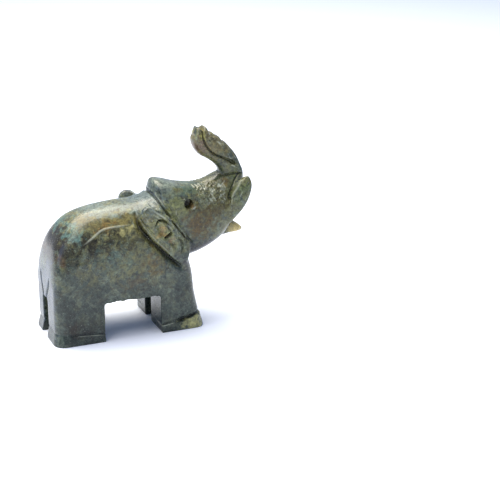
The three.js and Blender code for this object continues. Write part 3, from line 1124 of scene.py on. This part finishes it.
@dataclass(frozen=True)
class Patch:
    """A cloud of another colour in the stone, some of them painted shade and painted reflection, in
    millimetres of the carver's frame.

    centre and reach are in the side view, x and z. across is the y of its centre and its reach in y:
    most clouds go right through the stone. A higher ragged tears the cloud's edge further.
    """

    colour: str
    centre: Point2
    reach: Point2
    strength: float = 0.8
    ragged: float = 0.5
    across: Point2 = (0, 30)


@dataclass(frozen=True)
class Mottling:
    """Blotches: how wide they are in millimetres, and how far and strongly they break up."""

    size_mm: float
    detail: float
    breakup: float

    def settings(self) -> dict[str, float]:
        """Settings of the noise that draws them."""
        return {"Scale": 1 / self.size_mm, "Detail": self.detail, "Roughness": self.breakup}


@dataclass(frozen=True)
class Ground:
    """What the layers of the stone's colour share: coordinates, height and two patterns.

    carver is in the carver's millimetres, and pulled is the same drawn about by a slow swirl.
    """

    bench: NodeBench
    carver: bpy.types.Node
    pulled: bpy.types.Node
    height: bpy.types.NodeSocket
    mottle: bpy.types.Node
    grain: bpy.types.Node


@dataclass(frozen=True)
class PolishedSoapstone:
    """Soapstone, sanded wet and waxed: a soft grey green body clouded with ochre and rust.

    To the eye it is dense and a little waxy, with clear thin highlights on its edges and mottling
    from a millimetre to a few centimetres across.
    """

    name: str = "polished_soapstone"
    deep: str = "#1a201b"
    dark: str = "#2f3932"
    body: str = "#4a5347"
    pale: str = "#7a846c"
    olive: str = "#545027"
    rust: str = "#55492b"
    # Dark for waxing and painted shade in the cuts, and pale for scratched stone and painted highlights.
    wax_and_shade: str = "#12130f"
    powder_and_highlight: str = "#b4b9a4"
    fleck: str = "#a9b0a0"
    pit: str = "#17150f"
    ior: float = 1.5
    specular: float = 0.42
    roughness: float = 0.21
    relief_mm: float = 0.25
    swirl: Mottling = Mottling(9.0, 4, 0.6)
    swirl_pull_mm: float = 8.0
    cloud: Mottling = Mottling(14.0, 8, 0.62)
    mottle: Mottling = Mottling(3.2, 6, 0.72)
    grain: Mottling = Mottling(0.9, 3, 0.7)
    vein: Mottling = Mottling(7.0, 8, 0.68)
    streak: Mottling = Mottling(5.0, 8, 0.7)
    blotch: Mottling = Mottling(1.9, 5, 0.75)
    patch_edge: Mottling = Mottling(3.6, 8, 0.7)
    pit_gap_mm: float = 5.0
    # Talc flecks and sanding marks are under 0.2 mm wide. They are drawn coarser, so that they show.
    talc: Mottling = Mottling(0.55, 2, 0.5)
    sanding: Mottling = Mottling(1.1, 4, 0.6)
    patches: tuple[Patch, ...] = (
        # Broad clouds of the flank, the head and the trunk.
        Patch("#6c693c", (-20, 54), (36, 14), 0.75, 0.6),
        Patch("#66643e", (-14, 40), (26, 11), 0.65, 0.7),
        Patch("#5f5c32", (36, 66), (22, 26), 0.65, 0.6),
        Patch("#6a603c", (32, 91.5), (12, 9.5), 0.8, 0.5),
        # Ochre under the back, and the dark brown below it.
        Patch("#615a36", (-24, 59.5), (16, 4.5), 0.85, 0.8),
        Patch("#6d6538", (-18, 60), (8, 3), 0.75, 0.9),
        Patch("#705a2b", (-28, 58), (6, 2.6), 0.8, 0.9),
        Patch("#928c5b", (-16, 55), (9, 2.8), 0.8, 0.7),
        Patch("#252110", (-30, 50), (17, 7.5), 0.95, 0.6),
        Patch("#221d0e", (-50, 49), (8, 10), 0.95, 0.45),
        Patch("#2b2514", (-46, 42), (10, 5), 0.7, 0.6),
        Patch("#38331f", (-13, 50), (11, 5), 0.6, 0.7),
        # Blue green of the rump; painted pale reflection of the sky along the top of the back and on the
        # crest; blue green of the flank.
        Patch("#4d6a64", (-42, 56.5), (5, 4.5), 0.7, 0.7),
        Patch("#6c7b75", (-24, 64.2), (20, 2), 0.6, 0.5),
        Patch("#6a756c", (6, 74.2), (10, 3), 0.6, 0.6),
        Patch("#42584f", (-24, 43), (11, 6), 0.6, 0.7),
        # Browns of the cheek and of the flank behind the fore leg.
        Patch("#4d3d16", (23, 54), (9, 10), 0.95, 0.6),
        Patch("#48401f", (31, 58), (8, 6), 0.8, 0.7),
        Patch("#54451f", (-4, 38), (5, 9), 0.8, 0.7),
        Patch("#4a3c22", (-14, 28), (9, 4), 0.55, 0.8),
        # Ear, with its hollows.
        Patch("#797a4c", (1, 53), (10, 10), 0.75, 0.5),
        Patch("#997f48", (0.4, 52.8), (3, 3.4), 0.85, 0.6),
        Patch("#7c5d45", (5.6, 47.4), (2, 2.6), 0.7, 0.6),
        # Head, from the roots of the ears to the tusks and the lip.
        Patch("#6b6e3d", (10, 62), (8, 6), 0.75, 0.6),
        # Painted cool reflection of the sky on the neck behind the crest.
        Patch("#56625f", (-2, 66), (12, 5.5), 0.9, 0.4),
        Patch("#4c4b4d", (-5, 67), (7, 5), 0.7, 0.3, (20, 7)),
        Patch("#787c4c", (10.6, 65), (4.4, 3.6), 0.5, 0.9),
        # Painted shade on the corner of the crest.
        Patch("#3c4642", (4.5, 72), (5, 2.5), 0.75, 0.4),
        Patch("#3f564a", (19, 70), (9, 2.2), 0.5, 0.6),
        Patch("#566036", (46, 66), (5, 8), 0.6, 0.9),
        Patch("#5f4c25", (38, 71.5), (2.2, 2), 0.6, 0.6),
        Patch("#b5a163", (48, 44), (6, 5), 0.95, 0.3),
        # Tip of the trunk.
        Patch("#8b8848", (27.9, 96), (2.2, 2.4), 0.75, 0.5),
        Patch("#5d473a", (26.4, 90), (3.6, 4), 0.75, 0.7),
        # Toes, hind foot and rump; then painted shade under the throat and at the root of the trunk, and
        # painted bluish shade on the rear face.
        Patch("#a3a169", (17.2, 3), (8.6, 5.2), 0.85, 0.4),
        Patch("#241d11", (-46, 9), (4, 4), 0.75, 0.6),
        Patch("#4f3b24", (-50, 44), (3, 3), 0.6, 0.7),
        Patch("#2f2e35", (28, 36), (21, 8), 0.85, 0.4),
        Patch("#2c3529", (36.5, 77), (4, 5), 0.7, 0.5),
        Patch("#3c4854", (-56, 28), (2.6, 30), 0.8, 0.3),
    )
    eye: tuple[Patch, ...] = (
        # Painted shade in the drilled hole of the eye, and painted light on the tan stone of its lower wall.
        Patch("#1f150a", (16.5, 64.1), (2.4, 2.6), 0.85, 0.1),
        Patch("#756240", (19.2, 62.5), (1.4, 1.6), 0.85, 0.2),
    )

    def build(self, shift_x: float) -> bpy.types.Material:
        """Makes the material.

        Args:
            shift_x: How far the row frame lies from the carver's frame, in metres.

        Returns:
            The material, with its pattern on Object coordinates.
        """
        material = bpy.data.materials.new(self.name)
        material.use_nodes = True
        material.node_tree.nodes.clear()
        ground = self.ground(NodeBench(material), shift_x)
        colour = self.laid(ground, self.bare_stone(ground), self.clouds(ground))
        colour = self.laid(ground, self.speckled(ground, colour), self.marks(ground))
        self.gloss(ground, colour)
        return material

    def ground(self, bench: NodeBench, shift_x: float) -> Ground:
        """Lays out what the layers of colour share.

        Args:
            bench: The material's node tree.
            shift_x: How far the row frame lies from the carver's frame, in metres.

        Returns:
            The shared nodes.
        """
        place = bench.add("ShaderNodeTexCoord").outputs["Object"]
        to_carver = {"Location": (-shift_x / MM, 0, 0), "Scale": (1 / MM, 1 / MM, 1 / MM)}
        carver = bench.add("ShaderNodeMapping", to_carver, {"Vector": place})
        swirl = bench.add("ShaderNodeTexNoise", self.swirl.settings(), {"Vector": carver}).outputs["Color"]
        centred = bench.add("ShaderNodeVectorMath", {"operation": "SUBTRACT", 1: (0.5, 0.5, 0.5)}, {0: swirl})
        by_pull = {"operation": "MULTIPLY_ADD", 1: (self.swirl_pull_mm,) * 3}
        pulled = bench.add("ShaderNodeVectorMath", by_pull, {0: centred, 2: carver})
        height = bench.add("ShaderNodeSeparateXYZ", None, {0: carver}).outputs["Z"]
        mottle = bench.add("ShaderNodeTexNoise", self.mottle.settings(), {"Vector": pulled})
        grain = bench.add("ShaderNodeTexNoise", self.grain.settings(), {"Vector": carver})
        return Ground(bench, carver, pulled, height, mottle, grain)

    def bare_stone(self, ground: Ground) -> bpy.types.Node:
        """Grey green body in its light and dark clouds, a little paler towards the back.

        Args:
            ground: The shared nodes.

        Returns:
            The node whose first output is the colour.
        """
        add = ground.bench.add
        cloud = add("ShaderNodeTexNoise", self.cloud.settings(), {"Vector": ground.pulled})
        fine = add("ShaderNodeMath", {"operation": "MULTIPLY", 1: 0.45}, {0: ground.mottle})
        both = add("ShaderNodeMath", {"operation": "MULTIPLY_ADD", 1: 0.55}, {0: cloud, 2: fine})
        lift = add("ShaderNodeMapRange", span(4.0, 50.0, -0.075, 0.055), {0: ground.height})
        tone = add("ShaderNodeMath", {"operation": "ADD"}, {0: both, 1: lift})
        ramp = add("ShaderNodeValToRGB", None, {0: tone})
        stops = ramp.color_ramp.elements
        stops[0].position, stops[0].color = 0.34, linear(self.deep)
        stops[1].position, stops[1].color = 0.68, linear(self.pale)
        stops.new(0.45).color = linear(self.dark)
        stops.new(0.54).color = linear(self.body)
        return ramp

    def clouds(self, ground: Ground) -> list[tuple[str, Source]]:
        """Olive veins and rusty streaks, rarer towards the soles, and then the patches.

        Args:
            ground: The shared nodes.

        Returns:
            Each colour with its share at each place.
        """
        add = ground.bench.add
        upward = add("ShaderNodeMapRange", span(8.0, 46.0, 0.25, 1.0), {0: ground.height})
        olive = (self.olive, self.vein, span(0.5, 0.62, 0.0, 0.55))
        rust = (self.rust, self.streak, span(0.55, 0.66, 0.0, 0.5))
        layers: list[tuple[str, Source]] = []
        for colour, pattern, reach in (olive, rust):
            noise = add("ShaderNodeTexNoise", pattern.settings(), {"Vector": ground.pulled})
            share = add("ShaderNodeMapRange", reach, {0: noise})
            layers.append((colour, add("ShaderNodeMath", {"operation": "MULTIPLY"}, {0: share, 1: upward})))
        for index, patch in enumerate(self.patches + self.eye):
            place = ground.pulled if index < len(self.patches) else ground.carver
            layers.append((patch.colour, self.patch_share(ground.bench, place, patch, index)))
        return layers

    def patch_share(self, bench: NodeBench, place: Source, patch: Patch, index: int) -> bpy.types.Node:
        """How fully a ragged patch covers the stone.

        Args:
            bench: The material's node tree.
            place: Carver's coordinates.
            patch: The patch.
            index: Its number, which picks its noise.

        Returns:
            The node whose first output is the share.
        """
        centre = (patch.centre[0], patch.across[0], patch.centre[1])
        reach = (patch.reach[0], patch.across[1], patch.reach[1])
        moved = tuple(-c / r for c, r in zip(centre, reach))
        shrunk = tuple(1 / r for r in reach)
        local = bench.add("ShaderNodeMapping", {"Location": moved, "Scale": shrunk}, {"Vector": place})
        away = bench.add("ShaderNodeVectorMath", {"operation": "LENGTH"}, {0: local}).outputs["Value"]
        aside = {"Location": (17.0 * index, 5.0 * index, 9.0)}
        offset = bench.add("ShaderNodeMapping", aside, {"Vector": place})
        noise = bench.add("ShaderNodeTexNoise", self.patch_edge.settings(), {"Vector": offset})
        tear = {"operation": "MULTIPLY_ADD", 1: 8 * patch.ragged}
        torn = bench.add("ShaderNodeMath", tear, {0: noise, 2: away})
        edge = 4 * patch.ragged
        return bench.add("ShaderNodeMapRange", span(edge + 0.45, edge + 1.15, patch.strength, 0.0), {0: torn})

    def speckled(self, ground: Ground, colour: Source) -> bpy.types.Node:
        """Darkens and lightens the stone in specks of a millimetre or two.

        Args:
            ground: The shared nodes.
            colour: Colour so far.

        Returns:
            The node whose first output is the new colour.
        """
        add = ground.bench.add
        blotch = add("ShaderNodeTexNoise", self.blotch.settings(), {"Vector": ground.pulled})
        fine = add("ShaderNodeMath", {"operation": "MULTIPLY", 1: 0.4}, {0: ground.grain})
        both = add("ShaderNodeMath", {"operation": "MULTIPLY_ADD", 1: 0.6}, {0: blotch, 2: fine})
        speck = add("ShaderNodeMapRange", span(0.36, 0.64, 0.24, 1.78), {0: both})
        return add("ShaderNodeVectorMath", {"operation": "MULTIPLY"}, {0: colour, 1: speck})

    def marks(self, ground: Ground) -> list[tuple[str, Source]]:
        """Wax and painted shade in the cuts, pale scratched stone and painted highlights on the scratches and
        ridges, talc flecks, and small dark pits.

        Args:
            ground: The shared nodes.

        Returns:
            Each colour with its share at each place.
        """
        add = ground.bench.add
        wear_shade_and_highlight = add("ShaderNodeAttribute", {"attribute_name": "wear_shade_and_highlight"}).outputs["Fac"]
        talc = add("ShaderNodeTexNoise", self.talc.settings(), {"Vector": ground.carver})
        spacing = {"feature": "F1", "Scale": 1 / self.pit_gap_mm}
        pits = add("ShaderNodeTexVoronoi", spacing, {"Vector": ground.pulled}).outputs["Distance"]
        rows = [
            # Dark in the cuts from waxing and painted shade; pale from scratched stone and painted
            # highlights.
            (self.wax_and_shade, wear_shade_and_highlight, span(0.06, 0.8, 0.0, 0.85)),
            (self.powder_and_highlight, wear_shade_and_highlight, span(-0.06, -0.9, 0.0, 0.8)),
            (self.fleck, talc, span(0.66, 0.74, 0.0, 0.4)),
            (self.pit, pits, span(0.04, 0.12, 0.85, 0.0)),
        ]
        return [(colour, add("ShaderNodeMapRange", reach, {0: source})) for colour, source, reach in rows]

    def laid(self, ground: Ground, under: Source, layers: list[tuple[str, Source]]) -> Source:
        """Lays colours over the colour so far.

        Args:
            ground: The shared nodes.
            under: Colour so far.
            layers: Each colour with its share at each place.

        Returns:
            The new colour.
        """
        factor, first, second, result = 0, 6, 7, 2
        for colour, share in layers:
            settings = {"data_type": "RGBA", second: linear(colour)}
            mix = ground.bench.add("ShaderNodeMix", settings, {factor: share, first: under})
            under = mix.outputs[result]
        return under

    def gloss(self, ground: Ground, colour: Source) -> None:
        """Gives the stone its waxed sheen, uneven by the mottle, with the marks of sanding.

        Args:
            ground: The shared nodes.
            colour: The finished colour.
        """
        add = ground.bench.add
        uneven = span(0.3, 0.7, self.roughness - 0.06, self.roughness + 0.14)
        rough = add("ShaderNodeMapRange", uneven, {0: ground.mottle})
        slanted = {"Rotation": (0.2, 0.7, 0.3), "Scale": (0.25, 1.6, 1.6)}
        along = add("ShaderNodeMapping", slanted, {"Vector": ground.carver})
        sanding = add("ShaderNodeTexNoise", self.sanding.settings(), {"Vector": along})
        relief = add("ShaderNodeMath", {"operation": "MULTIPLY_ADD", 1: 0.35}, {0: sanding, 2: ground.grain})
        bump = add("ShaderNodeBump", {"Strength": 0.22, "Distance": self.relief_mm * MM}, {"Height": relief})
        shader = add(
            "ShaderNodeBsdfPrincipled",
            {"IOR": self.ior, "Specular IOR Level": self.specular},
            {"Base Color": colour, "Roughness": rough, "Normal": bump},
        )
        add("ShaderNodeOutputMaterial", None, {"Surface": shader})


@dataclass(frozen=True)
class WhitePaper:
    """Matt white paper. To the eye it is a cool white that takes soft shadows and has no shine."""

    name: str = "white_paper"
    colour: str = "#e6edfa"
    roughness: float = 0.75

    def build(self) -> bpy.types.Material:
        """Makes the material.

        Returns:
            The material.
        """
        material = bpy.data.materials.new(self.name)
        material.use_nodes = True
        shader = material.node_tree.nodes["Principled BSDF"]
        shader.inputs["Base Color"].default_value = linear(self.colour)
        shader.inputs["Roughness"].default_value = self.roughness
        return material


@dataclass(frozen=True)
class SoftBox:
    """A square lamp that points at the stone. Metres and watts."""

    name: str
    place: Point3
    aim_height: float
    size: float
    power: float
    colour: str

    def hang(self) -> None:
        """Adds the lamp to the scene."""
        data = bpy.data.lights.new(self.name, "AREA")
        data.shape = "SQUARE"
        data.size = self.size
        data.energy = self.power
        data.color = linear(self.colour)[:3]
        light = bpy.data.objects.new(self.name, data)
        bpy.context.scene.collection.objects.link(light)
        light.location = self.place
        light.rotation_mode = "QUATERNION"
        aim = Vector((0, 0, self.aim_height))
        light.rotation_quaternion = (aim - Vector(self.place)).to_track_quat("-Z", "Y")


@dataclass
class Studio:
    """Pale seamless floor, soft light, and the camera where the photograph was taken from.

    Camera values are in the carver's frame, in millimetres.
    """

    camera_mm: Point3 = (-214.8, -646.6, 277.0)
    azimuth: float = 22.7
    pitch: float = 19.4
    field_of_view: float = 20.0
    floor_half: float = 3.0
    room_colour: str = "#c9d9fa"
    room_strength: float = 0.72
    soft_boxes: tuple[SoftBox, ...] = (
        SoftBox("top_box", (-0.12, 0.36, 0.88), 0.04, 0.9, 19, "#fff6e6"),
        SoftBox("rear_box", (-0.9, 0.0, 0.4), 0.04, 0.5, 1.8, "#a8c4ff"),
        SoftBox("key_box", (-0.48, -0.24, 0.95), 0.05, 0.65, 5.2, "#fff1da"),
    )

    def floor(self) -> None:
        """Lays a wide sheet of white paper under the stone."""
        bpy.ops.object.select_all(action="DESELECT")
        bpy.ops.mesh.primitive_plane_add(size=2 * self.floor_half)
        sheet = bpy.context.object
        sheet.name = "studio_floor"
        sheet.data.materials.append(WhitePaper().build())

    def lights(self) -> None:
        """Makes the room bright and bluish, and hangs the soft boxes."""
        world = bpy.data.worlds.new("white_room")
        bpy.context.scene.world = world
        world.use_nodes = True
        background = world.node_tree.nodes["Background"]
        background.inputs["Color"].default_value = linear(self.room_colour)
        background.inputs["Strength"].default_value = self.room_strength
        bpy.context.scene.view_settings.view_transform = "Standard"
        for soft_box in self.soft_boxes:
            soft_box.hang()

    def camera(self, shift_x: float) -> None:
        """Places the camera.

        Args:
            shift_x: How far the row frame lies from the carver's frame, in metres.
        """
        data = bpy.data.cameras.new("camera")
        data.sensor_width = 36.0
        data.lens = data.sensor_width / 2 / math.tan(math.radians(self.field_of_view) / 2)
        data.clip_start, data.clip_end = 0.01, 20.0
        camera = bpy.data.objects.new("camera", data)
        bpy.context.scene.collection.objects.link(camera)
        turn, dip = math.radians(self.azimuth), math.radians(self.pitch)
        forward = Vector((math.sin(turn) * math.cos(dip), math.cos(turn) * math.cos(dip), -math.sin(dip)))
        x, y, z = (value * MM for value in self.camera_mm)
        camera.location = (x + shift_x, y, z)
        camera.rotation_mode = "QUATERNION"
        camera.rotation_quaternion = forward.to_track_quat("-Z", "Y")
        bpy.context.scene.camera = camera


def main() -> None:
    """Carves the elephant, gives it its finish, and sets up the studio."""
    logging.basicConfig(level=logging.INFO, format="%(name)s: %(message)s")
    carving = Elephant()
    stone = carving.build()
    carving.dress(stone)
    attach(stone, "root")
    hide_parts("elephant")
    studio = Studio()
    studio.floor()
    studio.lights()
    studio.camera(carving.shift() * MM)


if __name__ == "__main__":
    main()
